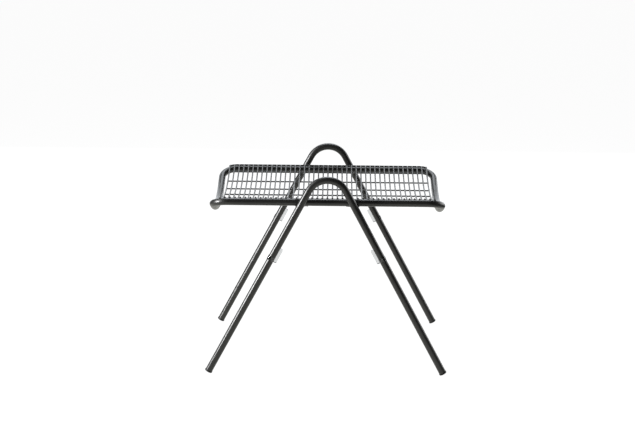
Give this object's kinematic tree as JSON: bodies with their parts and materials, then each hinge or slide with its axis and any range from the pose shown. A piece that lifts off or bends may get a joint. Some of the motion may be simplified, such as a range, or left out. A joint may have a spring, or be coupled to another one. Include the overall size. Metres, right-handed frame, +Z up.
{
  "type": "luggage rack",
  "caption": "Low rack with a dished wire-mesh tray on two hairpin tube leg frames that fold inwards; holds a bag or suitcase.",
  "frame": {"origin": "on the floor, under the middle of the tray", "axes": "+X along the rails to the right, +Y from the front rail to the rear rail, +Z up"},
  "size_m": [0.6446, 0.4688, 0.5395],
  "materials": {
    "frame_coat": "satin black powder coat",
    "mesh_coat": "satin black powder coat",
    "cap_plastic": "moulded black",
    "pad_plastic": "clear moulded",
    "screw_steel": "blackened"
  },
  "bodies": {
    "tray": {"tray_frame": "frame_coat", "mesh_long_wires": "mesh_coat", "mesh_edge_wires": "mesh_coat", "mesh_cross_wires": "mesh_coat", "mesh_rim_wire": "mesh_coat", "stop_screws": "screw_steel"},
    "front_legs": {"front_leg_tube": "frame_coat", "front_left_collar": "frame_coat", "front_right_collar": "frame_coat", "front_left_foot_cap": "cap_plastic", "front_right_foot_cap": "cap_plastic", "front_left_leg_pad": "pad_plastic", "front_right_leg_pad": "pad_plastic"},
    "rear_legs": {"rear_leg_tube": "frame_coat", "rear_left_collar": "frame_coat", "rear_right_collar": "frame_coat", "rear_left_foot_cap": "cap_plastic", "rear_right_foot_cap": "cap_plastic", "rear_left_leg_pad": "pad_plastic", "rear_right_leg_pad": "pad_plastic"}
  },
  "joints": [
    {"name": "front_legs_fold", "type": "hinge", "parent": "tray", "child": "front_legs", "pos_m": [0, -0.203, 0.466], "axis": [1, 0, 0], "range_deg": [0, 80]},
    {"name": "rear_legs_fold", "type": "hinge", "parent": "tray", "child": "rear_legs", "pos_m": [0, 0.203, 0.466], "axis": [-1, 0, 0], "range_deg": [0, 72]}
  ]
}
